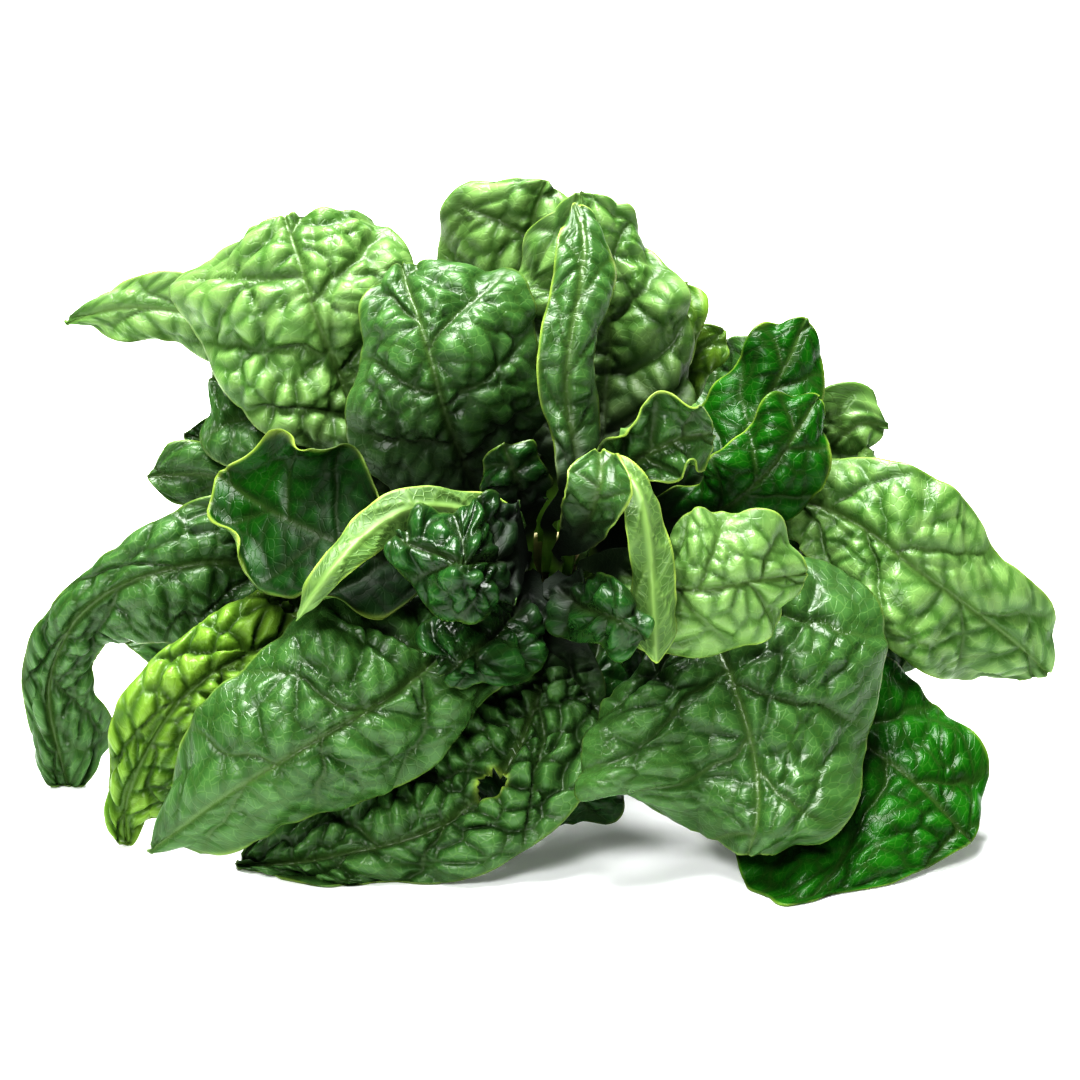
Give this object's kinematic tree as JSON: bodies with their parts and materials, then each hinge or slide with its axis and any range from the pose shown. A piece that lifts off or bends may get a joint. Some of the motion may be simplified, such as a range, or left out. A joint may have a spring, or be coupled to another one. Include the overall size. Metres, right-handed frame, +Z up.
{
  "type": "spinach bunch",
  "caption": "Bunch of savoy spinach lying on its side, with puckered, waved leaves spreading from one crown.",
  "frame": {"origin": "bottom centre of the bunch's bounding box, on the surface it lies on", "axes": "+X to the right across the leaf ends, +Y from the leaf ends to the crown, +Z up"},
  "size_m": [0.3102, 0.255, 0.1728],
  "materials": {
    "leaf_light": "soft sheen",
    "leaf_mid": "soft sheen",
    "leaf_dark": "glossy",
    "leaf_yellow": "soft sheen",
    "leaf_pale": "matte",
    "crown": "rough"
  },
  "bodies": {
    "root": {"crown": "crown", "leaf_back_left": "leaf_mid", "leaf_back_left_up": "leaf_mid", "leaf_back_low_left": "leaf_mid", "leaf_back_low_right": "leaf_mid", "leaf_back_right": "leaf_mid", "leaf_back_right_up": "leaf_mid", "leaf_back_up": "leaf_mid", "leaf_centre_left": "leaf_dark", "leaf_centre_low": "leaf_dark", "leaf_cup": "leaf_mid", "leaf_dark_fold": "leaf_dark", "leaf_folded": "leaf_light", "leaf_front_core": "leaf_dark", "leaf_front_left": "leaf_mid", "leaf_front_light": "leaf_light", "leaf_front_middle": "leaf_dark", "leaf_front_right": "leaf_dark", "leaf_heart": "leaf_dark", "leaf_hood": "leaf_mid", "leaf_hood_flap": "leaf_light", "leaf_left_arch": "leaf_mid", "leaf_left_behind": "leaf_mid", "leaf_left_dark": "leaf_dark", "leaf_left_small": "leaf_mid", "leaf_left_tip": "leaf_light", "leaf_lower_left": "leaf_yellow", "leaf_pale_right": "leaf_yellow", "leaf_pale_top": "leaf_yellow", "leaf_pocket": "leaf_mid", "leaf_right": "leaf_light", "leaf_right_behind": "leaf_light", "leaf_right_low": "leaf_mid", "leaf_right_under": "leaf_dark", "leaf_rosette": "leaf_dark", "leaf_strip": "leaf_pale", "leaf_top": "leaf_light", "leaf_twist": "leaf_pale", "leaf_upper_left": "leaf_light", "leaf_upper_middle": "leaf_mid", "leaf_upright": "leaf_mid"}
  },
  "joints": []
}
